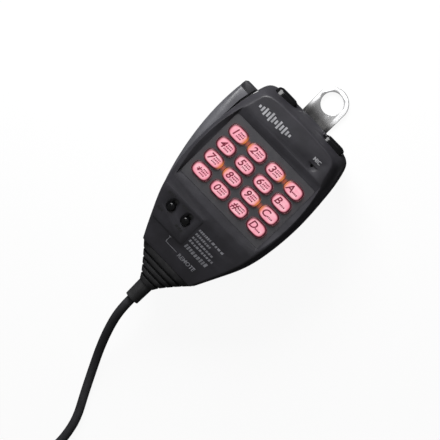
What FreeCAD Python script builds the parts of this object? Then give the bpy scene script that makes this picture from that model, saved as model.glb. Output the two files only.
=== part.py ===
"""Hand microphone for a mobile radio: two-part casing, keypad, push-to-talk lever and curly cord.

Frame: the microphone lies on its back. X is across it, +Y runs towards the steel hanging ring, +Z out of the
keypad face. The origin is on the flat back, under the keypad's centre. All lengths are in millimetres.
"""
import FreeCAD, Part
import math
import os

V = FreeCAD.Vector
X_AXIS, Y_AXIS = V(1, 0, 0), V(0, 1, 0)

# ---- driving dimensions ----
half_width = 32.3            # casing half width at its widest
top_y = 41.8                 # top end of the casing, at the parting height
bottom_y = -56.5             # where the casing ends and the cord boot starts
parting_z = 17.0             # height of the joint between the two shells
face_z = 34.0                # height of the strip above the keypad
wall = 2.0                   # shell wall

key_columns, key_rows = 4, 4
key_pitch_x, key_pitch_y = 12.5, 8.3
key_size_x, key_size_y = 10.2, 6.7
key_gap = 0.3                # gap round a key in its hole
key_names = ["1", "2", "3", "a", "4", "5", "6", "b", "7", "8", "9", "c", "star", "0", "hash", "d"]

lamp_places = [(x, y) for x in (-key_pitch_x, key_pitch_x) for y in (1.5 * key_pitch_y, -0.5 * key_pitch_y)]

floor_z = 32.5               # face of the keypad overlay
overlay_thickness = 0.6
overlay_half_x, overlay_half_y = 26.4, 19.5
roof_z = floor_z - overlay_thickness - wall    # underside of the shell below the keypad

pcb_top_z, pcb_thickness = 26.6, 1.6

lever_bottom_z, lever_top_z = 10.4, 24.6
lever_top_y, lever_bottom_y = 32.1, -28.6
striker_x, striker_y, striker_z = -25.9, -3.0, 20.6    # where the lever meets its switch
lever_gap = 0.4              # gap between lever and casing window
hinge_x, hinge_y, hinge_r = -25.6, -23.0, 1.0

end_button_x, end_button_z = 15.9, 21.4
end_button_half_x, end_button_half_z = 6.2, 3.6
end_stem_y = 34.0            # inner end of a top button's stem

panel_slope = math.degrees(math.atan(0.209))   # tilt of the switch panel
panel_y, panel_z = -28.2, 33.4                # top edge of the panel's face
knob_x = (-17.0, -7.2)
knob_y = -35.1

sound_hole_x, sound_hole_y = 16.3, 27.0
capsule_r = 3.0
case_screws_at = ((-23.4, 31.0), (23.4, 31.0), (-13.0, -48.5), (13.0, -48.5))
board_screws_at = ((-19.5, 23.6), (22.0, 22.6), (20.0, -22.0))

ring_y, ring_outer_r, ring_hole_r = 52.6, 8.25, 5.8
hanger_thickness, hanger_root_y = 1.2, 13.0
hanger_screws_at = ((-4.6, 19.0), (4.6, 19.0))

cord_r = 2.35
cord_z = 17.2                # height of the cord where it leaves the boot
cone_end_y, neck_end_y = -72.5, -82.5
boot_start_y = bottom_y - 0.15
boot_grooves = (-60.3, -63.4, -66.4, -69.5)
neck_r = 3.8

curl_outer_r = 7.1           # outside radius of the curly stretch
# Points of the cord's route: the plain lead, the curly stretch's axis, and the plain tail.
lead_route = [(0.0, -82.5, 17.2), (0.0, -90.0, 17.2), (1.8, -100.5, 12.6), (5.4, -112.5, 6.6),
              (10.6, -124.5, 2.7), (16.6, -136.5, 2.35), (22.6, -147.5, 2.35), (25.0, -158.5, 2.35),
              (25.0, -167.0, 2.35)]
curl_route = [(25.0, -167.0, 7.2), (25.0, -186.0, 7.2), (24.7, -211.0, 7.6), (25.2, -243.0, 8.1),
              (26.3, -260.0, 7.7), (29.2, -276.0, 7.3), (32.4, -293.0, 7.2), (32.7, -308.5, 7.2),
              (23.5, -317.7, 7.2), (10.5, -317.7, 7.2), (1.3, -308.5, 7.2), (1.8, -293.0, 7.2),
              (4.8, -276.0, 7.3), (7.9, -259.0, 7.9), (8.8, -243.0, 8.1), (8.8, -230.0, 7.2)]
tail_route = [(8.8, -230.0, 2.9), (8.8, -223.5, 2.9), (8.5, -216.5, 4.0), (8.5, -210.0, 4.0)]
tie_y, tie_width, tie_thickness = -243.0, 6.0, 0.6
plug_x, plug_z, plug_start_y = 8.5, 4.0, -210.0
plug_half_x, plug_length, plug_height = 5.85, 21.5, 6.6

parts = {}


# ---- shape helpers ----
def box(x0, x1, y0, y1, z0, z1):
    """Box from its limits."""
    return Part.makeBox(x1 - x0, y1 - y0, z1 - z0, V(x0, y0, z0))


def cylinder(r, x, y, z0, z1):
    """Upright cylinder."""
    return Part.makeCylinder(r, z1 - z0, V(x, y, z0))


def cylinder_y(r, x, z, y0, y1):
    """Cylinder lying along Y."""
    return Part.makeCylinder(r, y1 - y0, V(x, y0, z), Y_AXIS)


def prism(points, z0, z1):
    """Upright prism over a polygon."""
    wire = Part.makePolygon([V(x, y, z0) for x, y in points + points[:1]])
    return Part.Face(wire).extrude(V(0, 0, z1 - z0))


def rounded_box(x0, x1, y0, y1, z0, z1, r):
    """Box with rounded upright edges."""
    body = box(x0, x1, y0, y1, z0, z1)
    return body.makeFillet(r, [e for e in body.Edges if abs(e.tangentAt(e.FirstParameter).z) > 0.99])


def oval_points(a, b, power, count=16):
    """Points round a superellipse: power 2 is an ellipse, and more is squarer."""
    made = []
    for i in range(count):
        t = 2 * math.pi * (i + 0.5) / count
        c, s = math.cos(t), math.sin(t)
        made.append((math.copysign(abs(c) ** (2 / power), c) * a, math.copysign(abs(s) ** (2 / power), s) * b))
    return made


def oval_wire(a, b, power, place):
    """Closed smooth outline; place turns its two coordinates into a point."""
    curve = Part.BSplineCurve()
    curve.interpolate(Points=[place(u, v) for u, v in oval_points(a, b, power)], PeriodicFlag=True)
    return Part.Wire([curve.toShape()])


def oval_prism(a, b, power, x, y, z0, z1):
    """Upright prism over a superellipse."""
    face = Part.Face(oval_wire(a, b, power, lambda u, v: V(x + u, y + v, z0)))
    return face.extrude(V(0, 0, z1 - z0))


def loft(wires, ruled=False):
    return Part.makeLoft(wires, True, ruled)


def fuse(shapes):
    shape = shapes[0].multiFuse(shapes[1:]) if len(shapes) > 1 else shapes[0]
    return shape.removeSplitter()


def spline_edge(points, **ends):
    curve = Part.BSplineCurve()
    curve.interpolate(Points=points, **ends)
    return curve.toShape()


def on_panel(shape, y):
    """Moves a shape made round the origin, face up, onto the switch panel's sloping face at that y."""
    moved = shape.copy()
    moved.rotate(V(0, 0, 0), X_AXIS, panel_slope)
    moved.translate(V(0, y, panel_z + (y - panel_y) * math.tan(math.radians(panel_slope))))
    return moved


def keep(name, shape):
    """Adds a sub-part, as one solid or a group of separate solids."""
    solids = shape.Solids
    parts[name] = solids[0] if len(solids) == 1 else Part.makeCompound(solids)


# ---- casing ----
def casing_section(z, side_in, top_in, inset=0.0):
    """Plan outline of the casing at height z, taken in at the sides and the top end, then inset all round.

    Each point of the sides also says how many times over it is taken in, since the rim rolls wider near the ends.
    """
    sides = [(28.5, 34.0, 2.0), (half_width - 1.0, 17.5, 1.3), (half_width, 2.5, 1.0),
             (half_width - 1.2, -18.5, 1.1), (28.3, -31.7, 1.5), (23.1, -43.9, 1.7),
             (17.1, bottom_y, 1.7), (14.9, bottom_y - 4.5, 1.7)]
    crown = [(0.0, top_y), (12.0, top_y - 0.33), (21.6, top_y - 1.1), (26.2, top_y - 3.2)]
    right = [(x * (1 - (2 * side_in + inset) / half_width), y - top_in - inset) for x, y in crown]
    right += [(x - side_in * times - inset, y - (top_in + inset) * max(0.0, y) / top_y) for x, y, times in sides]
    left = [(-x, y) for x, y in reversed(right[1:])]
    points = [V(x, y, z) for x, y in left + right]
    return Part.Wire([spline_edge(points), Part.makeLine(points[-1], points[0])])


def casing_body(inset=0.0):
    """The casing as one block, or with an inset, the block that hollows it."""
    lower = [casing_section(-1.0, 2.2, 2.8, inset), casing_section(parting_z, 0.0, 0.0, inset)]
    upper = [casing_section(parting_z, 0.0, 0.0, inset), casing_section(parting_z + 9, 0.4, 2.2, inset),
             casing_section(face_z - 3, 1.0, 3.4, inset), casing_section(face_z - 0.7, 1.9, 4.0, inset),
             casing_section(face_z + 1, 3.2, 4.4, inset)]
    back = [V(0, 46, inset), V(0, -20, inset)]
    back_curve = [V(0, -20, inset), V(0, -38, 2.6 + inset), V(0, -56, 8.2 + inset), V(0, -62, 10.4 + inset)]
    front = [V(0, -62, 24.7), V(0, -56, 26.5), V(0, -45, 29.5), V(0, -34, 32.0), V(0, -20, 33.6),
             V(0, 0, face_z), V(0, 24, face_z), V(0, 46, face_z)]
    front = [p - V(0, 0, inset) for p in front]
    outline = Part.Wire([Part.makeLine(back[0], back[1]),
                         spline_edge(back_curve, InitialTangent=V(0, -1, 0), FinalTangent=V(0, -1, 0.4)),
                         Part.makeLine(back_curve[-1], front[0]), spline_edge(front),
                         Part.makeLine(front[-1], back[0])])
    side_view = Part.Face(outline).extrude(V(90, 0, 0))
    side_view.translate(V(-45, 0, 0))
    body = loft(lower).fuse(loft(upper)).common(side_view)
    return body.common(box(-50, 50, bottom_y - (5 if inset else 0), 50, -5, 50)).Solids[0]


def rounded_casing():
    """The outer block with its front and back rims rounded."""
    body = casing_body()
    rims = []
    for e in body.Edges:
        middle = e.valueAt((e.FirstParameter + e.LastParameter) / 2)
        long_edge = e.Length > 60
        if long_edge and middle.z > face_z - 3:
            rims.append((e, 1.3))
        elif long_edge and middle.z < 3:
            rims.append((e, 2.6))
    for edge, radius in rims:
        same = [e for e in body.Edges if (e.CenterOfMass - edge.CenterOfMass).Length < 0.5]
        body = body.makeFillet(radius, same)
    return body


def keypad_recess():
    """What is cut from the face: sloping banks down to a flat floor, and a pocket for the overlay."""
    def bank(z, top, bottom, corner_x, side_x, bottom_mid):
        corners = [V(-corner_x, top, z), V(corner_x, top, z), V(corner_x, bottom, z), V(-corner_x, bottom, z)]
        middle = (top + bottom) / 2
        return Part.Wire([Part.makeLine(corners[0], corners[1]),
                          Part.Arc(corners[1], V(side_x, middle, z), corners[2]).toShape(),
                          Part.Arc(corners[2], V(0, bottom_mid, z), corners[3]).toShape(),
                          Part.Arc(corners[3], V(-side_x, middle, z), corners[0]).toShape()])
    hx, hy = overlay_half_x + 0.2, overlay_half_y + 0.2
    rim = bank(face_z + 0.1, 24.0, -23.4, 26.6, 30.0, -26.8)
    floor = bank(floor_z, hy, -hy, hx, hx + 0.05, -hy - 0.05)
    banks = loft([rim, floor], ruled=True)
    above = Part.Face(rim).extrude(V(0, 0, 3))
    pocket = rounded_box(-overlay_half_x - 0.1, overlay_half_x + 0.1, -overlay_half_y - 0.1,
                         overlay_half_y + 0.1, floor_z - overlay_thickness, floor_z + 0.5, 1.5)
    return [banks, above, pocket]


def key_places():
    """(name, x, y) of each key, from the top left."""
    made = []
    for i, name in enumerate(key_names):
        row, column = divmod(i, key_columns)
        x = (column - (key_columns - 1) / 2) * key_pitch_x
        y = ((key_rows - 1) / 2 - row) * key_pitch_y
        made.append((name, x, y))
    return made


def key_holes(z0, z1):
    return [oval_prism(key_size_x / 2 + key_gap, key_size_y / 2 + key_gap, 2.9, x, y, z0, z1)
            for _, x, y in key_places()]


def end_button_outline(grow, x, y):
    """Oval outline of a top button, grown all round, in the plane of that y."""
    return oval_wire(end_button_half_x + grow, end_button_half_z + grow, 2.3,
                     lambda u, v: V(x + u, y, end_button_z + v))


def end_button_prism(grow, x, y0, y1):
    """Oval prism along Y, in line with a top button."""
    return Part.Face(end_button_outline(grow, x, y0)).extrude(V(0, y1 - y0, 0))


def lever_window():
    """The opening in the left side that the lever works in."""
    return box(-45, -24.2, lever_bottom_y - lever_gap, lever_top_y + lever_gap,
               lever_bottom_z - lever_gap, lever_top_z + lever_gap)


def parting_groove(outer):
    """A shallow band cut round the casing at the joint."""
    band = box(-50, 50, -70, 60, parting_z - 0.2, parting_z + 0.2)
    inner = casing_section(parting_z - 1, 0.0, 0.0, 0.3)
    core = Part.Face(inner).extrude(V(0, 0, 2))
    return outer.common(band).cut(core)


def switch_panel():
    """The raised field round the two slide switches, trimmed to the casing's side."""
    field = on_panel(rounded_box(-27, -1.0, -16.8, 0.0, -1.6, 0, 1.2), panel_y)
    return field.common(Part.Face(casing_section(parting_z, 0.0, 0.0, 2.4)).extrude(V(0, 0, 30)))


def make_front_shell(outer, trim, groove):
    cavity = casing_body(wall).cut(box(-28.6, 28.6, -23.6, 22.4, roof_z, 40))
    front = outer.common(box(-50, 50, -70, 60, parting_z, 60)).cut(cavity)
    bosses, cuts = [], key_holes(roof_z - 1, floor_z + 1) + [groove, lever_window()]
    for x, y in case_screws_at:
        bosses.append(cylinder(2.5, x, y, parting_z, 33))
        cuts.append(cylinder(1.0, x, y, parting_z - 1, 27.5))
    for x, y in board_screws_at:
        bosses.append(cylinder(1.9, x, y, pcb_top_z, 33))
        cuts.append(cylinder(0.7, x, y, pcb_top_z - 1, 30.4))
    bosses.append(box(hinge_x - 4.0, hinge_x + 2.2, hinge_y - 2.2, hinge_y + 2.2, lever_top_z + 0.5, 27.6))
    cuts.append(cylinder(hinge_r + 0.05, hinge_x, hinge_y, lever_top_z, 26.7))
    capsule_wall = cylinder(capsule_r + 1.3, sound_hole_x, sound_hole_y, 27.8, 33)
    bosses.append(capsule_wall.cut(cylinder(capsule_r + 0.5, sound_hole_x, sound_hole_y, 27, 31.6)))
    front = front.fuse([switch_panel()] + [b.common(trim) for b in bosses])
    front = front.cut(Part.makeCompound(keypad_recess()))

    cuts.append(cylinder(0.8, sound_hole_x, sound_hole_y, 30, 36))
    dish = Part.makeSphere(7.0, V(sound_hole_x + 0.6, sound_hole_y + 0.6, face_z + 6.2))
    cuts.append(dish.cut(box(0, 40, sound_hole_y + 0.9, 60, 20, 50)))
    for x in knob_x:
        cuts.append(on_panel(oval_prism(2.9, 3.8, 2.3, x, 0, -1.3, 3), knob_y + 1.0))
        cuts.append(on_panel(oval_prism(1.5, 3.2, 2.6, x, 0, -6, 3), knob_y + 1.0))
    for x in (-end_button_x, end_button_x):
        cuts.append(end_button_prism(0.3, x, 30, 50))
        lip = [end_button_outline(grow, x, y) for grow, y in ((0.3, 39.6), (1.5, 42.2))]
        cuts.append(loft(lip, ruled=True))
    keep("front_shell", front.cut(cuts))


def make_rear_shell(outer, trim, groove):
    rear = outer.common(box(-50, 50, -70, 60, -5, parting_z)).cut(casing_body(wall))
    posts, cuts = [], [groove, lever_window()]
    for x, y in case_screws_at:
        posts.append(cylinder(2.9, x, y, 0, parting_z))
        cuts += [cylinder(1.45, x, y, -1, parting_z + 1), cylinder(2.6, x, y, -1, 9.5)]
    for x, y in hanger_screws_at:
        posts.append(cylinder(2.4, x, y, 0, 7.0))
        cuts.append(cylinder(1.0, x, y, -1, 6.0))
    posts.append(box(-20.0, -17.6, 13.6, 19.4, 1.0, 17.4))
    posts.append(box(hinge_x - 4.0, hinge_x + 2.2, hinge_y - 2.2, hinge_y + 2.2, 6.0, lever_bottom_z - 0.5))
    cuts.append(cylinder(hinge_r + 0.05, hinge_x, hinge_y, 7.6, lever_bottom_z))
    cuts.append(box(-ring_outer_r - 0.15, ring_outer_r + 0.15, hanger_root_y - 0.15, 60, -1,
                    hanger_thickness + 0.15))
    keep("rear_shell", rear.fuse([p.common(trim) for p in posts]).cut(cuts))


def make_shells():
    outer, trim = rounded_casing(), casing_body(0.5)
    groove = parting_groove(outer)
    make_front_shell(outer, trim, groove)
    make_rear_shell(outer, trim, groove)


# ---- keypad ----
def make_keypad():
    plate = rounded_box(-overlay_half_x, overlay_half_x, -overlay_half_y, overlay_half_y,
                        floor_z - overlay_thickness, floor_z, 1.4)
    keep("keypad_overlay", plate.cut(key_holes(floor_z - 2, floor_z + 1)))
    mat = box(-24.0, 24.0, -17.6, 17.6, pcb_top_z, pcb_top_z + 0.8)
    domes, hollows = [], []
    for name, x, y in key_places():
        cap = oval_prism(key_size_x / 2, key_size_y / 2, 2.9, x, y, roof_z - 0.5, floor_z + 1.3)
        top = [e for e in cap.Edges if e.CenterOfMass.z > floor_z + 1]
        cap = cap.makeFillet(0.5, top)
        skirt = oval_prism(key_size_x / 2 + 0.65, key_size_y / 2 + 0.6, 2.9, x, y, roof_z - 1.0, roof_z - 0.2)
        keep("key_" + name, fuse([cap, skirt]))
        domes.append(Part.makeCone(3.1, 2.4, roof_z - 1.0 - pcb_top_z - 0.4, V(x, y, pcb_top_z + 0.4)))
        hollows.append(Part.makeCone(2.5, 1.7, 1.45, V(x, y, pcb_top_z)))
    windows = [box(x - 1.2, x + 1.2, y - 0.9, y + 0.9, pcb_top_z - 1, pcb_top_z + 2) for x, y in lamp_places]
    keep("keypad_mat", mat.fuse(domes).cut(hollows + windows))
    pills = [cylinder(1.1, x, y, pcb_top_z + 0.9, pcb_top_z + 1.45) for _, x, y in key_places()]
    keep("contact_pills", Part.makeCompound(pills))


# ---- push-to-talk lever ----
def make_lever():
    outer = [V(-35.7, lever_top_y, 0), V(-36.9, 15.0, 0), V(-35.6, -2.0, 0), V(-32.9, -16.0, 0),
             V(-29.2, lever_bottom_y, 0)]
    curve = spline_edge(outer)
    inner = [outer[-1], V(-27.9, lever_bottom_y, 0), V(-27.9, -20.0, 0), V(-31.0, -6.0, 0), V(-31.6, 10.0, 0),
             V(-31.0, 24.0, 0), V(-29.2, lever_top_y, 0), outer[0]]
    edges = [Part.makeLine(a, b) for a, b in zip(inner, inner[1:])]
    bar = Part.Face(Part.Wire([curve] + edges)).extrude(V(0, 0, lever_top_z - lever_bottom_z))
    bar.translate(V(0, 0, lever_bottom_z))
    rims = [e for e in bar.Edges if e.Length > 55 and abs(e.tangentAt(e.FirstParameter).z) < 0.1]
    bar = bar.makeFillet(1.2, rims)
    end_step = box(-45, -20, 28.5, 40, lever_top_z - 1.6, 30)
    barrel = cylinder(2.1, hinge_x, hinge_y, lever_bottom_z, lever_top_z)
    arm = box(-29.0, hinge_x, hinge_y - 1.6, hinge_y + 1.6, lever_bottom_z, lever_top_z)
    striker = box(-33.0, striker_x, striker_y - 2.0, striker_y + 2.0, 14.0, 22.5)
    lever = fuse([bar.cut(end_step), barrel, arm, striker])
    keep("ptt_lever", lever.cut(cylinder(hinge_r + 0.06, hinge_x, hinge_y, 5, 30)))
    keep("ptt_hinge_pin", cylinder(hinge_r, hinge_x, hinge_y, 8.4, 26.5))
    leaf = [(-20.4, 14.0), (-20.4, 18.1), (-29.5, 27.4), (-29.85, 29.0),
            (-29.5, 29.1), (-29.2, 27.5), (-20.05, 18.3), (-20.05, 14.0)]
    keep("ptt_leaf_spring", prism(leaf, 12.0, 16.5))


def make_end_buttons():
    inside = casing_body(wall + 0.3)
    for name, x in (("down_button", -end_button_x), ("up_button", end_button_x)):
        cap = end_button_prism(0.0, x, 36.4, 41.0)
        crown = loft([end_button_outline(grow, x, y) for grow, y in ((0.0, 41.0), (-0.5, 41.8), (-1.9, 42.4))],
                     ruled=True)
        skirt = end_button_prism(0.7, x, 35.4, 36.4).common(inside)
        stem = box(x - 1.5, x + 1.5, end_stem_y, 36.0, end_button_z - 1.5, end_button_z + 1.5)
        keep(name, fuse([cap, crown, skirt, stem]))


def make_slide_knobs():
    for name, x in zip(("lock_knob", "remote_knob"), knob_x):
        dome = Part.makeCylinder(2.15, 2.3, V(x, 0, -1.15))
        dome = dome.makeFillet(1.5, [e for e in dome.Edges if e.CenterOfMass.z > 1.0])
        stem = box(x - 1.0, x + 1.0, -1.3, 1.3, -4.0, -1.0)
        keep(name, on_panel(fuse([dome, stem]), knob_y))


# ---- electronics ----
def make_electronics():
    low, high = pcb_top_z - pcb_thickness, pcb_top_z
    outline = [(-24.3, -17.5), (-22.4, -19.5), (-22.4, -26.0), (-18.6, -42.0), (18.6, -42.0), (24.3, -20.0),
               (24.3, 26.8), (19.8, 27.8), (19.8, 33.6), (-19.8, 33.6), (-19.8, 27.8), (-24.3, 26.8)]
    board = prism(outline, low, high)
    holes = [cylinder(0.95, x, y, low - 1, high + 1) for x, y in board_screws_at]
    keep("circuit_board", board.cut(holes))
    keep("switch_contacts", Part.makeCompound(
        [rounded_box(x - 2, x + 2, y - 1.4, y + 1.4, high, high + 0.05, 0.4) for _, x, y in key_places()]))
    screws = []
    for x, y in board_screws_at:
        head = Part.makeCylinder(1.7, 1.1, V(x, y, low - 1.1))
        screws.append(fuse([head, cylinder(0.7, x, y, low, 30.0)]))
    keep("board_screws", Part.makeCompound(screws))
    keep("backlight_lamps", Part.makeCompound([box(x - 0.8, x + 0.8, y - 0.5, y + 0.5, high, high + 0.7)
                                               for x, y in lamp_places]))
    slides = [box(x - 2.4, x + 2.4, knob_y - 3.4, knob_y + 5.2, high, high + 0.9) for x in knob_x]
    keep("slide_switches", Part.makeCompound(slides))
    tacts = []
    for name, x in (("down_plunger", -end_button_x), ("up_plunger", end_button_x)):
        keep(name, cylinder_y(1.2, x, end_button_z, 31.0, end_stem_y))
        can = box(x - 3.1, x + 3.1, 28.0, 32.0, low - 5.6, low)
        tacts.append(can.cut(cylinder_y(1.25, x, end_button_z, 30.0, 33)))
    keep("end_switches", Part.makeCompound(tacts))
    case = box(-24.6, -19.4, striker_y - 3.2, striker_y + 3.2, low - 6.2, low)
    keep("ptt_microswitch", case.cut(Part.makeCylinder(1.2, 3.2, V(-25.0, striker_y, striker_z), X_AXIS)))
    keep("ptt_plunger", Part.makeCylinder(0.8, 2.3, V(striker_x, striker_y, striker_z), X_AXIS))
    keep("mic_capsule", cylinder(capsule_r, sound_hole_x, sound_hole_y, 28.3, 31.0))
    sleeve = cylinder(capsule_r + 0.45, sound_hole_x, sound_hole_y, 28.0, 31.5)
    sleeve = sleeve.cut(cylinder(capsule_r + 0.02, sound_hole_x, sound_hole_y, 27, 31.05))
    keep("mic_gasket", sleeve.cut(cylinder(1.2, sound_hole_x, sound_hole_y, 27, 32)))
    chip = box(-6, 6, -2, 10, low - 1.6, low)
    keep("encoder_chip", chip)
    header = box(-8, 8, -40.5, -35.0, low - 6.0, low)
    keep("board_connector", header)


def make_wires():
    """Four conductors from the clamped cord up to the board's connector."""
    wires = []
    for x_cord, x_board in ((-1.5, -6.0), (-0.5, -2.0), (0.5, 2.0), (1.5, 6.0)):
        start, knee = V(x_cord, -47.0, cord_z), V(x_board, -42.8, cord_z + 2.5)
        end = V(x_board, -40.5, cord_z + 4.5)
        runs = []
        for a, b in ((start, knee), (knee, end)):
            runs.append(Part.makeCylinder(0.45, (b - a).Length, a, b - a))
        runs.append(Part.makeSphere(0.45, knee))
        wire = fuse(runs).cut(box(-10, 10, -40.5, -30, 0, 40)).cut(box(-10, 10, -52, -47.0, 0, 40))
        wires.append(wire)
    keep("inner_wires", Part.makeCompound(wires))


# ---- fasteners and hanger ----
def make_fasteners():
    screws = []
    for x, y in case_screws_at:
        head = Part.makeCylinder(2.4, 1.7, V(x, y, 7.8))
        cross = fuse([box(x - 1.5, x + 1.5, y - 0.3, y + 0.3, 7.6, 8.7), box(x - 0.3, x + 0.3, y - 1.5, y + 1.5, 7.6, 8.7)])
        screws.append(fuse([head, cylinder(1.0, x, y, 9.5, 26.5)]).cut(cross))
    keep("case_screws", Part.makeCompound(screws))

    strap = box(-ring_outer_r, ring_outer_r, hanger_root_y, ring_y, 0.1, 0.1 + hanger_thickness)
    disc = cylinder(ring_outer_r, 0, ring_y, 0.1, 0.1 + hanger_thickness)
    plate = fuse([strap, disc])
    rims = [e for e in plate.Edges if e.Length > 12 and abs(e.tangentAt(e.FirstParameter).z) < 0.1]
    plate = plate.makeFillet(0.25, rims).cut(cylinder(ring_hole_r, 0, ring_y, -1, 3))
    sinks = [Part.makeCone(2.1, 1.1, 1.0, V(x, y, 0.1)) for x, y in hanger_screws_at]
    holes = [cylinder(1.1, x, y, 0, 3) for x, y in hanger_screws_at]
    keep("hanger_plate", plate.cut(sinks + holes))
    pins = []
    for x, y in hanger_screws_at:
        head = Part.makeCone(2.0, 1.0, 1.0, V(x, y, 0.12))
        slot = box(x - 1.3, x + 1.3, y - 0.25, y + 0.25, 0, 0.55)
        pins.append(fuse([head, cylinder(1.0, x, y, 0.9, 5.6)]).cut(slot))
    keep("hanger_screws", Part.makeCompound(pins))


# ---- cord ----
def boot_section(y, grow):
    """Section of the boot's cone at y, from wide at the casing to round at the neck."""
    share = (y - boot_start_y) / (cone_end_y - boot_start_y)
    a = neck_r + 0.5 + (16.1 - neck_r) * (1 - share) ** 1.15 + grow
    b = neck_r + 0.5 + (8.4 - neck_r) * (1 - share) + grow
    power = 2.0 + 2.6 * (1 - share) ** 0.6
    centre = cord_z + 0.1 * (1 - share)
    return oval_wire(a, b, power, lambda u, v: V(u, y, centre + v))


def make_boot():
    """Rubber boot: ribs stacked with the narrower grooves between them, the neck, and a spigot into the casing."""
    ends = [boot_start_y] + [y + side for y in boot_grooves for side in (0.55, -0.55)] + [cone_end_y]
    slices = []
    for i, (y0, y1) in enumerate(zip(ends, ends[1:])):
        grow = -1.3 if i % 2 else 0.0
        slices.append(loft([boot_section(y0, grow), boot_section(y1, grow)]))
    neck = Part.makeCone(neck_r + 0.25, neck_r, cone_end_y - neck_end_y, V(0, cone_end_y, cord_z), V(0, -1, 0))
    spigot_wire = oval_wire(13.6, 6.0, 4.0, lambda u, v: V(u, boot_start_y, cord_z + 0.1 + v))
    spigot = Part.Face(spigot_wire).extrude(V(0, 3.6, 0))
    bore = cylinder_y(cord_r + 0.03, 0, cord_z, neck_end_y - 1, -50)
    keep("cord_boot", slices[0].multiFuse(slices[1:] + [neck, spigot]).cut(bore))
    keep("cord_core", cylinder_y(cord_r, 0, cord_z, neck_end_y, -47.0))
    clamp = box(-5.5, 5.5, -51.6, -48.4, cord_z - 4.4, cord_z + 4.4)
    keep("cord_clamp", clamp.cut(cylinder_y(cord_r + 0.02, 0, cord_z, -53, -47)))


def rounded_path(points):
    """Straight runs joined by tangent arcs as large as the runs allow. Returns the wire and the radii."""
    p = [V(*q) for q in points]
    edges, radii, at = [], [], p[0]
    for a, b, c in zip(p, p[1:], p[2:]):
        into, out = (b - a), (c - b)
        turn = into.getAngle(out)
        radius = 0.45 * min(into.Length, out.Length) / math.tan(turn / 2)
        reach = radius * math.tan(turn / 2)
        into.normalize()
        out.normalize()
        start, end = b - into * reach, b + out * reach
        inward = out - into
        inward.normalize()
        middle = b + inward * (radius / math.cos(turn / 2) - radius)
        edges += [Part.makeLine(at, start), Part.Arc(start, middle, end).toShape()]
        radii.append(round(radius, 1))
        at = end
    edges.append(Part.makeLine(at, p[-1]))
    return Part.Wire(edges), radii


def tube(points, r, name):
    """Round tube along a route; says how its volume compares with length times section."""
    path, radii = rounded_path(points)
    along = V(*points[1]) - V(*points[0])
    ring = Part.Wire([Part.makeCircle(r, V(*points[0]), along)])
    solid = path.makePipeShell([ring], True, False)
    share = solid.Volume / (path.Length * math.pi * r * r)
    print(name, "length", round(path.Length, 1), "volume share", round(share, 4), "radii", radii)
    return solid


def make_cord():
    keep("cord_lead", tube(lead_route, cord_r, "cord_lead"))
    keep("curly_cord", tube(curl_route, curl_outer_r, "curly_cord"))
    keep("cord_tail", tube(tail_route, cord_r, "cord_tail"))
    left, right = 8.8 - curl_outer_r - 0.4, 25.2 + curl_outer_r + 0.4
    top = 8.1 + curl_outer_r + 0.3
    band = rounded_box(left - tie_thickness, right + tie_thickness, 0, top + tie_thickness, 0, tie_width, 7.2)
    band = band.cut(rounded_box(left, right, tie_thickness, top, -1, tie_width + 1, 6.6))
    band.rotate(V(0, 0, 0), X_AXIS, 90)
    band.translate(V(0, tie_y + tie_width / 2, 0))
    keep("cord_tie", band)


def make_plug():
    """Modular plug on the tail's end, its contacts, and the latch that clicks into the socket."""
    y0, y1, base = plug_start_y, plug_start_y + plug_length, plug_z - 3.4
    body = box(plug_x - plug_half_x, plug_x + plug_half_x, y0, y1, base, base + plug_height)
    body = body.makeFillet(0.4, [e for e in body.Edges if abs(e.tangentAt(e.FirstParameter).y) > 0.99])
    pin_x = [plug_x + (i - 3.5) * 1.02 for i in range(8)]
    slots = [box(x - 0.3, x + 0.3, y1 - 6.2, y1 + 1, base - 1, base + 1.6) for x in pin_x]
    mouth = cylinder_y(cord_r + 0.03, plug_x, plug_z, y0 - 1, y0 + 8.0)
    keep("plug_body", body.cut(slots + [mouth]))
    keep("plug_contacts", Part.makeCompound([box(x - 0.3, x + 0.3, y1 - 6.1, y1 - 0.4, base + 0.2, base + 1.6)
                                             for x in pin_x]))
    top = base + plug_height
    side = [V(0, y1 - 0.6, top + 0.1), V(0, y1 - 1.8, top + 0.35), V(0, y0 + 2.6, top + 3.3),
            V(0, y0 + 2.6, top + 4.1), V(0, y1 - 7.0, top + 2.3), V(0, y1 - 0.6, top + 1.1)]
    latch = Part.Face(Part.makePolygon(side + side[:1])).extrude(V(3.2, 0, 0))
    latch.translate(V(plug_x - 1.6, 0, 0))
    root = Part.makeCylinder(0.5, 3.2, V(plug_x - 1.6, y1 - 0.9, top + 0.6), X_AXIS)
    keep("plug_latch", fuse([latch, root]))
    keep("plug_core", cylinder_y(cord_r, plug_x, plug_z, y0, y0 + 7.8))


def main():
    os.makedirs("parts", exist_ok=True)
    make_shells()
    make_keypad()
    make_lever()
    make_end_buttons()
    make_slide_knobs()
    make_electronics()
    make_wires()
    make_fasteners()
    make_boot()
    make_cord()
    make_plug()
    for name, shape in parts.items():
        if not shape.isValid() or shape.Volume <= 0:
            print("check the shape of", name, shape.isValid(), round(shape.Volume, 2))
        shape.exportStep(f"parts/{name}.step")
    print(len(parts), "sub-parts,", sum(len(s.Solids) for s in parts.values()), "solids")


main()
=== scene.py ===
import math
import random

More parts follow.
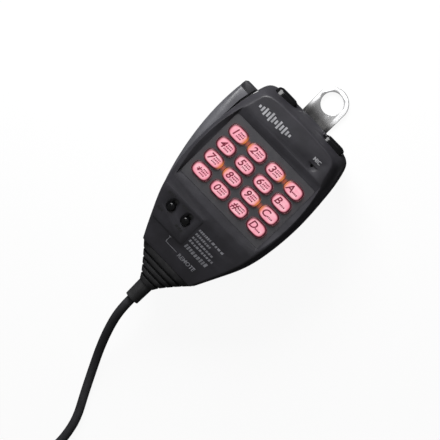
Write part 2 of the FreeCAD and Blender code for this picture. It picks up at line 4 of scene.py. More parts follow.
import bpy
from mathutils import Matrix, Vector


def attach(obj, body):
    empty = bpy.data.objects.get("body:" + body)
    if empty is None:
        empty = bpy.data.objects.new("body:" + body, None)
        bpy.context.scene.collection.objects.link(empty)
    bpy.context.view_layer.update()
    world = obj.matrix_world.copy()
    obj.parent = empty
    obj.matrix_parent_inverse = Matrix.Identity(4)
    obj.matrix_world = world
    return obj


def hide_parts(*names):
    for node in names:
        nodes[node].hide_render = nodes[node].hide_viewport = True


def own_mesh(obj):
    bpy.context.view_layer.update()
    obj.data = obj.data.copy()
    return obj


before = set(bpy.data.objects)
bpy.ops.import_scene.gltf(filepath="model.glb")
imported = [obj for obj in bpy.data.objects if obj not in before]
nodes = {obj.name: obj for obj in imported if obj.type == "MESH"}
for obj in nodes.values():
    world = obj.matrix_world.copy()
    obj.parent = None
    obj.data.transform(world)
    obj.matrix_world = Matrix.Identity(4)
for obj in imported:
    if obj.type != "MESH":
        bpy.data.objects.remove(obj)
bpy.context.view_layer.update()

mm = 0.001
print("frame loaded:", len(nodes), "nodes")


def selectOnly(*items):
    bpy.ops.object.select_all(action="DESELECT")
    for item in items:
        item.select_set(True)
    bpy.context.view_layer.objects.active = items[0]


def applyModifier(piece, kind, **settings):
    modifier = piece.modifiers.new(kind, kind)
    for name, value in settings.items():
        setattr(modifier, name, value)
    selectOnly(piece)
    bpy.ops.object.modifier_apply(modifier=modifier.name)


def settle(piece):
    # the object goes to the origin, and its place into its mesh
    selectOnly(piece)
    bpy.ops.object.transform_apply(location=True, rotation=True, scale=True)


def editMesh(piece):
    selectOnly(piece)
    bpy.ops.object.mode_set(mode="EDIT")
    bpy.ops.mesh.select_all(action="SELECT")


def leaveEdit():
    bpy.ops.object.mode_set(mode="OBJECT")


def selectParts(piece, kind, wanted):
    # goes into edit mode with only the wanted vertices, edges or faces selected
    editMesh(piece)
    bpy.ops.mesh.select_mode(type=kind)
    bpy.ops.mesh.select_all(action="DESELECT")
    leaveEdit()
    mesh = piece.data
    for part in {"VERT": mesh.vertices, "EDGE": mesh.edges, "FACE": mesh.polygons}[kind]:
        part.select = wanted(part)
    bpy.ops.object.mode_set(mode="EDIT")


def heightStep(piece, edge):
    a, b = [piece.data.vertices[i].co for i in edge.vertices]
    return abs(a.z - b.z)


def duplicate(source, name, at=(0, 0, 0)):
    piece = bpy.data.objects.new(name, source.data.copy())
    bpy.context.scene.collection.objects.link(piece)
    piece.location = at
    settle(piece)
    return piece


def joined(name, items):
    selectOnly(*items)
    bpy.ops.object.join()
    piece = bpy.context.view_layer.objects.active
    piece.name = name
    settle(piece)
    return piece


def smooth(piece, degrees):
    selectOnly(piece)
    bpy.ops.object.shade_smooth_by_angle(angle=math.radians(degrees))


def place(piece, body, finish, stands=()):
    # finish, body and material slot of a piece; stands are the CAD nodes it takes the place of
    piece.data.materials.clear()
    piece.data.materials.append(finish)
    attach(piece, body)
    if stands:
        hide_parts(*stands)


def tone(red, green, blue):
    # a colour as seen on screen, 0 to 255, in the linear values that sockets take
    def linear(c):
        c /= 255
        return c / 12.92 if c <= 0.04045 else ((c + 0.055) / 1.055) ** 2.4
    return (linear(red), linear(green), linear(blue), 1.0)


class Signal:
    # a value running through a material, so that its maths reads like ordinary sums

    def __init__(self, finish, socket):
        self.finish = finish
        self.socket = socket

    def math(self, operation, *values):
        return self.finish.node("ShaderNodeMath", {"operation": operation}, dict(enumerate(values)))

    def __add__(self, other):
        return self.math("ADD", self, other)

    def __radd__(self, other):
        return self.math("ADD", other, self)

    def __sub__(self, other):
        return self.math("SUBTRACT", self, other)

    def __rsub__(self, other):
        return self.math("SUBTRACT", other, self)

    def __mul__(self, other):
        return self.math("MULTIPLY", self, other)

    def __rmul__(self, other):
        return self.math("MULTIPLY", other, self)

    def __truediv__(self, other):
        return self.math("DIVIDE", self, other)

    def __pow__(self, other):
        return self.math("POWER", self, other)

    def absolute(self):
        return self.math("ABSOLUTE", self)

    def wrapped(self, size):
        # distance from the middle of each repeat of that size
        return (self.math("FLOORED_MODULO", self, size) - size / 2).absolute()

    def ramp(self, low, high):
        # 0 below low, 1 above high, with soft ends; low may be the larger
        return self.finish.node("ShaderNodeMapRange", {"interpolation_type": "SMOOTHSTEP"},
                                {"Value": self, "From Min": low, "From Max": high})


class Finish:
    # one material, with the few moves that all the finishes here are made of

    def __init__(self, name):
        self.material = bpy.data.materials.new(name)
        self.material.use_nodes = True
        self.tree = self.material.node_tree
        self.shader = self.tree.nodes["Principled BSDF"]
        self.place = self.node("ShaderNodeTexCoord", output="Object")

    def node(self, kind, settings=None, inputs=None, output=0):
        made = self.tree.nodes.new(kind)
        for name, value in (settings or {}).items():
            setattr(made, name, value)
        for name, value in (inputs or {}).items():
            self.feed(made.inputs[name], value)
        return Signal(self, made.outputs[output])

    def feed(self, socket, value):
        if isinstance(value, Signal):
            self.tree.links.new(value.socket, socket)
        else:
            socket.default_value = value

    def set(self, **values):
        # baseColor=... goes to the socket Base Color, and so on
        for name, value in values.items():
            words = "".join(" " + c if c.isupper() else c for c in name)
            self.feed(self.shader.inputs[words[0].upper() + words[1:]], value)

    def hold(self, socket, value):
        # a shader setting that is the same all over the material
        self.shader.inputs[socket].default_value = value

    def noise(self, size, detail=3.0, roughness=0.55, stretch=(1, 1, 1)):
        # grain whose features are about that size, in metres
        where = self.node("ShaderNodeMapping", {}, {"Vector": self.place, "Scale": stretch})
        return self.node("ShaderNodeTexNoise", {}, {"Vector": where, "Scale": 1 / size,
                                                    "Detail": detail, "Roughness": roughness})

    def rays(self, kind):
        return self.node("ShaderNodeLightPath", output=kind)

    def axes(self):
        split = self.node("ShaderNodeSeparateXYZ", {}, {0: self.place}).socket.node
        return [Signal(self, split.outputs[i]) for i in range(3)]

    def mix(self, first, second, factor):
        # the colour sockets of a mix node are told apart by number only
        return self.node("ShaderNodeMix", {"data_type": "RGBA"},
                         {0: factor, 6: first, 7: second}, output=2)

    def bump(self, height, distance, strength=1.0):
        return self.node("ShaderNodeBump", {}, {"Height": height, "Distance": distance,
                                                "Strength": strength})


# where the lever's painted light ends: its end keeps the casing's black, so it reads as shaded
leverPaintedLightEnd = {"from": 28.45 * mm, "blend": 0.1 * mm, "tone": (40, 40, 43)}
# the hanger's stem is painted darker next to the casing, a painted dark reflection; the steel is
# also rougher there
steelStemPaintedReflection = {"darkReflectionBelow": 42.5 * mm, "brightReflectionAbove": 49.5 * mm, "dulling": 0.9, "tone": (62, 61, 60)}


def mouldedPlastic(name, dark, light, rough, sheen=0.3, grain=0.35 * mm, depth=0.012 * mm,
                   end=None):
    # black moulding with spark-eroded grain, a little uneven in tone where hands polish it
    finish = Finish(name)
    patches = finish.noise(9 * mm, detail=4.0).ramp(0.35, 0.7)
    fine = finish.noise(grain, detail=2.0)
    specks = finish.noise(1.6 * mm, detail=5.0, roughness=0.7).ramp(0.62, 0.75)
    colour = finish.mix(tone(*dark), tone(*light), patches * 0.7 + fine * 0.3)
    if end:
        # past that line the painted light on the lever's grey stops, and the piece is as black as
        # the casing
        x, y, z = finish.axes()
        beyond = y.ramp(end["from"] - end["blend"], end["from"] + end["blend"])
        colour = finish.mix(colour, tone(*end["tone"]), beyond)
    shine = rough + (patches - 0.5) * 0.08 + (fine - 0.5) * 0.10 - specks * 0.05
    finish.set(baseColor=colour, roughness=shine, normal=finish.bump(fine, depth))
    finish.hold("Specular IOR Level", sheen)
    return finish.material


def polishedPlastic(name, colour, rough=0.1, sheen=0.22):
    finish = Finish(name)
    haze = finish.noise(3 * mm, detail=4.0).ramp(0.45, 0.75)
    scuffs = finish.noise(0.25 * mm, detail=2.0, roughness=0.6, stretch=(1, 6, 1)).ramp(0.6, 0.8)
    finish.set(baseColor=tone(*colour), roughness=rough + haze * 0.08 + scuffs * 0.06,
               normal=finish.bump(haze, 0.01 * mm, strength=0.5))
    finish.hold("Specular IOR Level", sheen)
    return finish.material


def softRubber(name, dark, light, rough=0.55, sheen=0.2):
    finish = Finish(name)
    cloud = finish.noise(5 * mm, detail=4.0).ramp(0.3, 0.75)
    fine = finish.noise(0.22 * mm, detail=2.0)
    finish.set(baseColor=finish.mix(tone(*dark), tone(*light), cloud),
               roughness=rough + (fine - 0.5) * 0.15 - cloud * 0.06,
               normal=finish.bump(fine, 0.01 * mm))
    finish.hold("Specular IOR Level", sheen)
    return finish.material


def sheetSteel(name, colour, rough=0.12):
    # plated strip with rolling lines along it and small handling marks; next to the casing it is
    # rougher, and its colour is darkened there as a painted dark reflection
    finish = Finish(name)
    x, y, z = finish.axes()
    # painted dark reflection near the casing, also used to roughen the steel there
    dullAndPaintedReflection = y.ramp(steelStemPaintedReflection["brightReflectionAbove"], steelStemPaintedReflection["darkReflectionBelow"]) * steelStemPaintedReflection["dulling"]
    lines = finish.noise(0.12 * mm, detail=3.0, roughness=0.6, stretch=(1, 0.04, 1))
    marks = finish.noise(2.5 * mm, detail=5.0, roughness=0.7).ramp(0.5, 0.75)
    bright = finish.mix(tone(*colour), tone(*[c * 0.82 for c in colour]), marks * 0.5)
    finish.set(baseColor=finish.mix(bright, tone(*steelStemPaintedReflection["tone"]), dullAndPaintedReflection), metallic=1.0,
               roughness=rough + lines * 0.12 + marks * 0.12 + dullAndPaintedReflection * 0.1,
               normal=finish.bump(lines, 0.004 * mm))
    return finish.material


def plainPart(name, colour, rough=0.5, metal=0.0):
    finish = Finish(name)
    cloud = finish.noise(3 * mm, detail=3.0).ramp(0.3, 0.75)
    fine = finish.noise(0.5 * mm, detail=2.0)
    finish.set(baseColor=finish.mix(tone(*colour), tone(*[c * 0.8 for c in colour]), cloud),
               metallic=metal, roughness=rough + (fine - 0.5) * 0.1,
               normal=finish.bump(fine, 0.008 * mm))
    return finish.material


keypad = {
    "pitchX": 12.5 * mm, "pitchY": 8.3 * mm,
    # the outline round a lit key: half its size, and how square it is
    "halfX": 5.1 * mm, "halfY": 3.35 * mm, "power": 2.9,
    # strength of the light, and how far a lamp's own colour reaches in a key and in the film
    "glow": 0.92, "keyReach": 4.3 * mm, "filmReach": 2.2 * mm,
    # the part of the film that light leaks into, and how softly it ends
    "fieldX": 25 * mm, "fieldY": 16.6 * mm, "fieldEdge": 1 * mm,
}
glowTones = {"cap": (70, 22, 32), "middle": (250, 168, 186), "middlePale": (252, 196, 206),
             "outer": (206, 40, 78), "rim": (52, 5, 18), "lamp": (255, 150, 70),
             "leak": (104, 10, 28), "lampLeak": (230, 90, 20)}
lampSpots = [(x * keypad["pitchX"], y * keypad["pitchY"]) for x in (-1, 1) for y in (1.5, -0.5)]


def keyDistance(finish):
    # 0 in a key's middle, 1 on its outline, more outside it
    x, y, z = finish.axes()
    across = x.wrapped(keypad["pitchX"]) / keypad["halfX"]
    along = y.wrapped(keypad["pitchY"]) / keypad["halfY"]
    return (across ** keypad["power"] + along ** keypad["power"]) ** (1 / keypad["power"])


def lampGlow(finish, reach):
    # 1 over a lamp, falling to 0 at that distance
    x, y, z = finish.axes()
    spots = [(((x - lampX) ** 2.0 + (y - lampY) ** 2.0) ** 0.5).ramp(reach, 0.0)
             for lampX, lampY in lampSpots]
    return sum(spots[1:], spots[0])


def litKey():
    # translucent cap lit from behind: pale in the middle, deep red at the rim, orange near a lamp
    finish = Finish("litKey")
    distance = keyDistance(finish)
    cloud = finish.noise(2.2 * mm).ramp(0.35, 0.7)
    glow = finish.mix(tone(*glowTones["middle"]), tone(*glowTones["middlePale"]), cloud)
    glow = finish.mix(glow, tone(*glowTones["outer"]), distance.ramp(0.66, 0.96) * 0.6)
    glow = finish.mix(glow, tone(*glowTones["rim"]), distance.ramp(0.80, 0.95))
    glow = finish.mix(glow, tone(*glowTones["lamp"]), lampGlow(finish, keypad["keyReach"]) * 0.9)
    fine = finish.noise(0.2 * mm, detail=2.0)
    finish.set(baseColor=tone(*glowTones["cap"]), roughness=0.42 + (fine - 0.5) * 0.1,
               emissionColor=glow, normal=finish.bump(fine, 0.006 * mm))
    finish.hold("Emission Strength", keypad["glow"])
    return finish.material


def keypadFilm(dark, light):
    # smooth charcoal film; light leaking round the keys tints it red
    finish = Finish("keypadFilm")
    x, y, z = finish.axes()
    inside = (x.absolute().ramp(keypad["fieldX"] + keypad["fieldEdge"], keypad["fieldX"])
              * y.absolute().ramp(keypad["fieldY"] + keypad["fieldEdge"], keypad["fieldY"]))
    leak = keyDistance(finish).ramp(1.22, 1.0) * inside
    cloud = finish.noise(6 * mm).ramp(0.3, 0.75)
    fine = finish.noise(0.3 * mm, detail=2.0)
    glow = finish.mix(tone(0, 0, 0), tone(*glowTones["leak"]), leak * 0.4)
    byLamps = lampGlow(finish, keypad["filmReach"]) * 0.4
    glow = finish.mix(glow, tone(*glowTones["lampLeak"]), byLamps)
    finish.set(baseColor=finish.mix(tone(*dark), tone(*light), cloud), emissionColor=glow,
               roughness=0.44 + (fine - 0.5) * 0.08, normal=finish.bump(fine, 0.006 * mm))
    finish.hold("Emission Strength", 1.0)
    return finish.material


def clearPlastic(name, dark, light):
    finish = Finish(name)
    cloud = finish.noise(4 * mm).ramp(0.35, 0.7)
    finish.set(baseColor=finish.mix(tone(*dark), tone(*light), cloud),
               roughness=0.06 + cloud * 0.06)
    finish.hold("Transmission Weight", 0.75)
    finish.hold("IOR", 1.5)
    return finish.material


finishes = {
    "casing": mouldedPlastic("casing", (41, 40, 44), (52, 51, 56), 0.43),
    "casingBack": mouldedPlastic("casingBack", (42, 42, 45), (52, 52, 56), 0.5),
    # the lever's grey is partly its own dark grey and partly painted light, standing for the light
    # its grip face catches from the key softbox
    "lever": mouldedPlastic("lever", (66, 66, 70), (78, 78, 83), 0.36, sheen=0.5,
                            grain=0.25 * mm, depth=0.006 * mm, end=leverPaintedLightEnd),
    "gloss": polishedPlastic("gloss", (9, 9, 11)),
    "rubber": softRubber("rubber", (42, 42, 43), (54, 54, 55)),
    "jacket": softRubber("jacket", (46, 46, 48), (58, 58, 61), rough=0.46),
    "steel": sheetSteel("steel", (240, 240, 241)),
    "screw": plainPart("screw", (150, 150, 152), 0.35, 1.0),
    "key": litKey(),
    "film": keypadFilm((53, 52, 56), (62, 61, 64)),
    "print": plainPart("print", (168, 168, 172), 0.55),
    "printDim": plainPart("printDim", (138, 138, 144), 0.6),
    "legend": plainPart("legend", (136, 34, 60), 0.5),
    # near-black for the embossed switch letters: painted shade of their relief
    "relief": plainPart("relief", (12, 12, 14), 0.6),
    "board": plainPart("board", (28, 96, 58), 0.4),
    "blackPart": plainPart("blackPart", (30, 30, 32), 0.45),
    "silicone": plainPart("silicone", (214, 208, 204), 0.6),
    "carbon": plainPart("carbon", (24, 24, 24), 0.8),
    "gold": plainPart("gold", (218, 178, 96), 0.25, 1.0),
    "lamp": plainPart("lamp", (255, 140, 60), 0.3),
    "can": plainPart("can", (52, 52, 54), 0.7),
    "spring": plainPart("spring", (176, 176, 180), 0.28, 1.0),
    "wire": plainPart("wire", (176, 34, 30), 0.4),
    "clear": clearPlastic("clear", (214, 218, 222), (226, 229, 232)),
    "tie": plainPart("tie", (26, 26, 28), 0.6),
}
print("finishes made:", len(finishes))

# every node with no row here is a key
nodeFinishes = {
    "front_shell": "casing", "rear_shell": "casingBack", "keypad_overlay": "film",
    "keypad_mat": "silicone", "contact_pills": "carbon", "circuit_board": "board",
    "switch_contacts": "gold", "board_screws": "screw", "backlight_lamps": "lamp",
    "slide_switches": "blackPart", "end_switches": "blackPart", "ptt_microswitch": "blackPart",
    "mic_capsule": "can", "mic_gasket": "rubber", "encoder_chip": "blackPart",
    "board_connector": "silicone", "inner_wires": "wire", "case_screws": "screw",
    "hanger_plate": "steel", "hanger_screws": "screw", "cord_boot": "rubber",
    "cord_core": "jacket", "cord_clamp": "blackPart", "cord_lead": "jacket",
    "curly_cord": "jacket", "cord_tail": "jacket", "cord_tie": "tie", "plug_body": "clear",
    "plug_contacts": "gold", "plug_core": "jacket", "ptt_hinge_pin": "spring",
    "ptt_leaf_spring": "spring", "up_button": "gloss", "down_button": "gloss",
    "up_plunger": "blackPart", "down_plunger": "blackPart", "ptt_plunger": "blackPart",
    "lock_knob": "gloss", "remote_knob": "gloss", "ptt_lever": "lever", "plug_latch": "clear",
}
for name, node in nodes.items():
    node.data.materials.clear()
    node.data.materials.append(finishes[nodeFinishes.get(name, "key")])


# tilts and roll in degrees; fieldWidth is the width seen at the target, in metres
cameraSetup = {"target": (4.1 * mm, -22.5 * mm, 33.0 * mm), "tiltX": 3.7, "tiltY": 7.5,
               "roll": 45.46, "distance": 1.0, "fieldWidth": 0.2098, "sensor": 36.0,
               "clip": (0.01, 20)}


def makeCamera():
    setup = cameraSetup
    target = Vector(setup["target"])
    leanX, leanY, roll = [math.radians(setup[name]) for name in ("tiltX", "tiltY", "roll")]
    back = Vector((math.tan(leanX), math.tan(leanY), 1)).normalized()
    up = (Vector((0, 1, 0)) - back * back.y).normalized()
    right = up.cross(back)
    bpy.ops.object.camera_add(location=target + back * setup["distance"])
    camera = bpy.context.object
    turn = camera.matrix_world.to_3x3()
    turn.col[0] = right * math.cos(roll) + up * math.sin(roll)
    turn.col[1] = up * math.cos(roll) - right * math.sin(roll)
    turn.col[2] = back
    camera.rotation_euler = turn.to_euler()
    camera.data.sensor_width = setup["sensor"]
    camera.data.lens = setup["sensor"] * setup["distance"] / setup["fieldWidth"]
    camera.data.clip_start, camera.data.clip_end = setup["clip"]
    bpy.context.scene.camera = camera


studio = {"floorSize": 6, "floorZ": -0.2 * mm, "floorTone": (74, 74, 76), "floorFleck": 4,
          # what the camera sees of the floor, and how much of it is its own light
          "floorSeen": (252, 252, 252), "floorLift": 0.93,
          "roomLight": 0.04, "roomInGloss": 0.32, "lampTarget": (0, -0.02, 0.02)}
softboxes = {
    # name: (place from the target in metres, width and height, power)
    "keySoftbox": ((-0.25, 0.23, 0.19), (0.22, 0.22), 2.6),
    "topSoftbox": ((0.05, 0.55, 0.45), (0.5, 0.25), 0.2),
    "overheadCard": ((-0.20, -0.02, 1.2), (0.42, 0.42), 0.8),
}


def addSoftbox(name, offset, size, power):
    bpy.ops.object.light_add(type="AREA", location=Vector(studio["lampTarget"]) + Vector(offset))
    lamp = bpy.context.object
    lamp.name = name
    lamp.data.shape = "RECTANGLE"
    lamp.data.size, lamp.data.size_y = size
    lamp.data.energy = power
    lamp.rotation_euler = (-Vector(offset)).to_track_quat("-Z", "Y").to_euler()


def makeFloor():
    bpy.ops.mesh.primitive_plane_add(size=studio["floorSize"], location=(0, 0, studio["floorZ"]))
    floor = bpy.context.object
    floor.name = "floor"
    paper = Finish("paper")
    fibre = paper.noise(3 * mm)
    seen = paper.rays("Is Camera Ray") + paper.rays("Is Transmission Ray")
    dark = studio["floorTone"]
    plain = paper.mix(tone(*dark), tone(*[c + studio["floorFleck"] for c in dark]), fibre)
    paper.set(baseColor=paper.mix(plain, tone(*studio["floorSeen"]), seen), roughness=0.9)
    white = paper.node("ShaderNodeEmission", {}, {"Color": (1, 1, 1, 1), "Strength": 1.0})
    blend = paper.node("ShaderNodeMixShader", {}, {0: seen * studio["floorLift"],
                                                   1: Signal(paper, paper.shader.outputs[0]),
                                                   2: white})
    paper.feed(paper.tree.nodes["Material Output"].inputs["Surface"], blend)
    floor.data.materials.append(paper.material)


def makeRoom():
    world = bpy.data.worlds.new("studio")
    bpy.context.scene.world = world
    world.use_nodes = True
    tree = world.node_tree
    tree.nodes["Background"].inputs["Color"].default_value = (1, 1, 1, 1)
    path = tree.nodes.new("ShaderNodeLightPath")
    # dim for plain light, brighter in gloss, white where the camera or clear plastic sees it
    level = studio["roomLight"]
    for ray, strength in (("Is Glossy Ray", studio["roomInGloss"]), ("Is Camera Ray", 1.0),
                          ("Is Transmission Ray", 1.0)):
        step = tree.nodes.new("ShaderNodeMix")
        step.inputs["B"].default_value = strength
        if isinstance(level, float):
            step.inputs["A"].default_value = level
        else:
            tree.links.new(level, step.inputs["A"])
        tree.links.new(path.outputs[ray], step.inputs["Factor"])
        level = step.outputs[0]
    tree.links.new(level, tree.nodes["Background"].inputs["Strength"])
    bpy.context.scene.view_settings.view_transform = "Standard"


makeCamera()
makeFloor()
for name, (offset, size, power) in softboxes.items():
    addSoftbox(name, offset, size, power)
makeRoom()
print("camera and studio made")


cord = {"radius": 2.35 * mm, "coilRadius": 4.65 * mm, "pitch": 4.85 * mm, "pointsPerTurn": 12,
        # radius of the finished turns, as a share of their control points' radius
        "pulledIn": 0.966,
        # over this length at each end the curl closes to a straight cord, wound looser
        "endRun": 12 * mm, "endPitch": 1.6,
        "order": 3, "sides": 3, "steps": 4, "guideSteps": 24}
# the cord's stretches in mm: plain lead, middle line of the curl, plain tail
leadRoute = [(0.0, -82.5, 17.2), (0.0, -90.0, 17.2), (1.8, -100.5, 12.6), (5.4, -112.5, 6.6),
             (10.6, -124.5, 2.7), (16.6, -136.5, 2.35), (22.6, -147.5, 2.35), (25.0, -158.5, 2.35),
             (25.0, -167.0, 2.35)]
curlRoute = [(25.0, -167.0, 7.2), (25.0, -186.0, 7.2), (24.7, -211.0, 7.6), (25.2, -243.0, 8.1),
             (26.3, -260.0, 7.7), (29.2, -276.0, 7.3), (32.4, -293.0, 7.2), (32.7, -308.5, 7.2),
             (23.5, -317.7, 7.2), (10.5, -317.7, 7.2), (1.3, -308.5, 7.2), (1.8, -293.0, 7.2),
             (4.8, -276.0, 7.3), (7.9, -259.0, 7.9), (8.8, -243.0, 8.1), (8.8, -230.0, 7.2)]
tailRoute = [(8.8, -230.0, 2.9), (8.8, -223.5, 2.9), (8.5, -216.5, 4.0), (8.5, -210.0, 4.0)]


def nurbsCurve(name, points, radius=0.0):
    curve = bpy.data.curves.new(name, "CURVE")
    curve.dimensions = "3D"
    curve.bevel_depth = radius
    curve.bevel_resolution = cord["sides"]
    curve.use_fill_caps = True
    spline = curve.splines.new("NURBS")
    spline.points.add(len(points) - 1)
    for point, where in zip(spline.points, points):
        point.co = (*where, 1.0)
    spline.order_u = cord["order"]
    spline.use_endpoint_u = True
    spline.resolution_u = cord["steps"]
    piece = bpy.data.objects.new(name, curve)
    bpy.context.scene.collection.objects.link(piece)
    return piece


def readLine(points):
    # the points that a smooth line through that route passes, read from its own spline
    guide = nurbsCurve("guide", points)
    guide.data.splines[0].resolution_u = cord["guideSteps"]
    bpy.context.view_layer.update()
    mesh = bpy.data.meshes.new_from_object(guide)
    line = [v.co.copy() for v in mesh.vertices]
    bpy.data.objects.remove(guide)
    bpy.data.meshes.remove(mesh)
    return line


class Route:
    # a line that can be asked for its place, heading and tightness at any distance along it

    def __init__(self, line):
        self.line = line
        self.marks = [0.0]
        for a, b in zip(line, line[1:]):
            self.marks.append(self.marks[-1] + (b - a).length)
        self.length = self.marks[-1]

    def at(self, distance):
        distance = min(max(distance, 0.0), self.length)
        for i in range(1, len(self.marks)):
            if self.marks[i] >= distance:
                step = max(self.marks[i] - self.marks[i - 1], 1e-9)
                share = (distance - self.marks[i - 1]) / step
                return self.line[i - 1].lerp(self.line[i], share)
        return self.line[-1].copy()

    def heading(self, distance, reach=4 * mm):
        return (self.at(distance + reach) - self.at(distance - reach)).normalized()

    def bendRadius(self, distance, reach=7 * mm):
        turn = self.heading(distance - reach).angle(self.heading(distance + reach), 0.0)
        return 2 * reach / max(turn, 0.01)


def curlPoints():
    # the helix round the curl's route, wound tight, and a little looser on the inside of its bend
    route = Route(readLine([Vector(p) * mm for p in curlRoute]))
    control = cord["coilRadius"] / cord["pulledIn"]
    steps = cord["pointsPerTurn"]
    places, distance = [], 0.0
    while distance < route.length:
        places.append(distance)
        radius = route.bendRadius(distance)
        pitch = cord["pitch"] * max(1.0, radius / (radius - cord["coilRadius"]))
        nearEnd = min(distance, route.length - distance) / cord["endRun"]
        pitch *= 1 + cord["endPitch"] * max(0.0, 1 - nearEnd)
        distance += pitch / steps
    places = places[:len(places) - (len(places) - 1) % steps]
    stretch = route.length / places[-1]
    points = []
    for i, distance in enumerate(places):
        distance *= stretch
        forward = route.heading(distance)
        side = forward.cross(Vector((0, 0, 1))).normalized()
        above = side.cross(forward)
        angle = 2 * math.pi * i / steps
        share = min(1.0, min(distance, route.length - distance) / cord["endRun"])
        share = share * share * (3 - 2 * share)
        around = (side * math.sin(angle) - above * math.cos(angle)) * control * share
        # its lowest line stays level where it closes
        points.append(route.at(distance) + around - above * control * (1 - share))
    return points


def makeCord():
    lead = [Vector(p) * mm for p in leadRoute[:-1]]
    tail = [Vector(p) * mm for p in tailRoute[1:]]
    curl = curlPoints()
    piece = nurbsCurve("cord", lead + curl + tail, cord["radius"])
    line = Route(readLine(lead + curl + tail))
    piece.data.materials.append(finishes["jacket"])
    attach(piece, "housing")
    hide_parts("cord_lead", "curly_cord", "cord_tail")
    print("cord made:", round(line.length, 3), "m,", len(curl) // cord["pointsPerTurn"], "turns")
    return piece, line.length


cordPiece, cordLength = makeCord()


smoothed = {
    # node: (bevel width in mm, least edge angle bevelled, angle up to which shading is smooth)
    "front_shell": (0.3, 30, 32), "rear_shell": (0.3, 30, 32), "ptt_lever": (0.3, 35, 40),
    "cord_boot": (0.35, 30, 40), "up_button": (0.25, 35, 45), "down_button": (0.25, 35, 45),
    "lock_knob": (0.12, 35, 50), "remote_knob": (0.12, 35, 50), "hanger_plate": (0.22, 35, 40),
    "plug_body": (0.15, 40, 35), "plug_latch": (0.15, 40, 35), "cord_tie": (0.2, 40, 35),
    "ptt_leaf_spring": (0.0, 40, 60),
}
movingPieces = ("ptt_lever", "up_button", "down_button", "lock_knob", "remote_knob", "plug_latch")
welding = {"distance": 0.002 * mm, "flatAngle": 1.0, "bevelSegments": 2}
leverLean = {"from": -31.0 * mm, "above": 21.0 * mm, "below": 28.6 * mm, "fall": 0.34}


def weldedCopy(source, name, bevel, bevelAngle, smoothAngle):
    # the CAD shape again, with its triangles welded so that it can be bevelled and shaded smooth
    piece = duplicate(source, name)
    if piece.data.has_custom_normals:
        bpy.ops.mesh.customdata_custom_splitnormals_clear()
    editMesh(piece)
    bpy.ops.mesh.remove_doubles(threshold=welding["distance"])
    if bevel:
        bpy.ops.mesh.dissolve_limited(angle_limit=math.radians(welding["flatAngle"]))
    leaveEdit()
    if bevel:
        applyModifier(piece, "BEVEL", width=bevel, segments=welding["bevelSegments"],
                      limit_method="ANGLE", angle_limit=math.radians(bevelAngle))
    smooth(piece, smoothAngle)
    return piece


def leanLever(piece):
    # the grip face falls away outwards, most where the lever stands out furthest
    for vertex in piece.data.vertices:
        out = leverLean["from"] - vertex.co.x
        if vertex.co.z > leverLean["above"] and out > 0 and vertex.co.y < leverLean["below"]:
            vertex.co.z -= out * leverLean["fall"]


def makeSmoothed():
    made = {}
    for name, (width, edgeAngle, shadeAngle) in smoothed.items():
        piece = weldedCopy(nodes[name], name + "_fine", width * mm, edgeAngle, shadeAngle)
        if name == "ptt_lever":
            leanLever(piece)
        body = name if name in movingPieces else "housing"
        place(piece, body, finishes[nodeFinishes[name]], (name,))
        made[name] = piece
    return made


fine = makeSmoothed()
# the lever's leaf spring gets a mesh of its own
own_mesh(fine["ptt_leaf_spring"])
print("smoothed copies made:", len(fine))


cap = {"x": 10.2 * mm, "y": 6.7 * mm, "bottomZ": 31.4 * mm, "topZ": 33.8 * mm,
       "corner": 2.9 * mm, "cornerSegments": 10, "edge": 0.45 * mm, "edgeSegments": 4,
       # the dome's height, what share of it each ring rises, and a ring's width
       "crown": 0.22 * mm, "rings": (0.4, 0.3, 0.2, 0.1), "ringWidth": 0.55 * mm}
keyRows = [["1", "2", "3", "a"], ["4", "5", "6", "b"], ["7", "8", "9", "c"],
           ["star", "0", "hash", "d"]]
symbols = {"star": "*", "hash": "#"}
strokes = {"widths": (0.75, 1.25), "gap": 0.42, "wander": 0.06, "heights": (0.8, 1.0),
           "slant": 0.22,
           # short enough facets for a stroke to follow the casing
           "facet": 1.0 * mm}
legends = {
    "size": 5.2 * mm, "bold": 0.11 * mm, "slant": 0.25, "thickness": 0.02 * mm,
    "x": -2.1 * mm, "starY": -0.9 * mm, "lift": 0.01 * mm,
    # rows of fine print in mm: left end, middle height, width, height, number of strokes
    "lines": ((0.2, 1.45, 3.0, 0.8, 4), (-0.1, 0.15, 3.3, 0.8, 4), (-0.4, -1.15, 3.0, 0.8, 4)),
    "word": ((-0.1, -0.75, 3.0, 0.8, 4),),
}


def makeKeyCap():
    # a block with round corners, its top rolled over at the rim and gently domed
    height = cap["topZ"] - cap["bottomZ"] - cap["crown"]
    bpy.ops.mesh.primitive_cube_add(size=1, location=(0, 0, cap["bottomZ"] + height / 2))
    piece = bpy.context.object
    piece.scale = (cap["x"], cap["y"], height)
    settle(piece)
    selectParts(piece, "EDGE", lambda edge: heightStep(piece, edge) > height / 2)
    bpy.ops.mesh.bevel(offset=cap["corner"], segments=cap["cornerSegments"], profile=0.5)
    leaveEdit()
    # the whole top first, then only its flat middle
    selectParts(piece, "FACE", lambda face: face.normal.z > 0.9)
    bpy.ops.mesh.bevel(offset=cap["edge"], segments=cap["edgeSegments"], profile=0.5)
    leaveEdit()
    selectParts(piece, "FACE", lambda face: face.normal.z > 0.99)
    for share in cap["rings"]:
        bpy.ops.mesh.inset(thickness=cap["ringWidth"], depth=cap["crown"] * share)
    leaveEdit()
    smooth(piece, 50)
    return piece


def flatText(text, at, size, bold, slant=0.0, thickness=0.0):
    # letters lying flat, with their middle at that place
    bpy.ops.object.text_add()
    piece = bpy.context.object
    words = piece.data
    words.body, words.size, words.offset, words.shear = text, size, bold, slant
    words.extrude = thickness
    words.resolution_u = 4
    words.align_x, words.align_y = "CENTER", "CENTER"
    selectOnly(piece)
    bpy.ops.object.convert(target="MESH")
    piece = bpy.context.object
    piece.location = at
    settle(piece)
    return piece


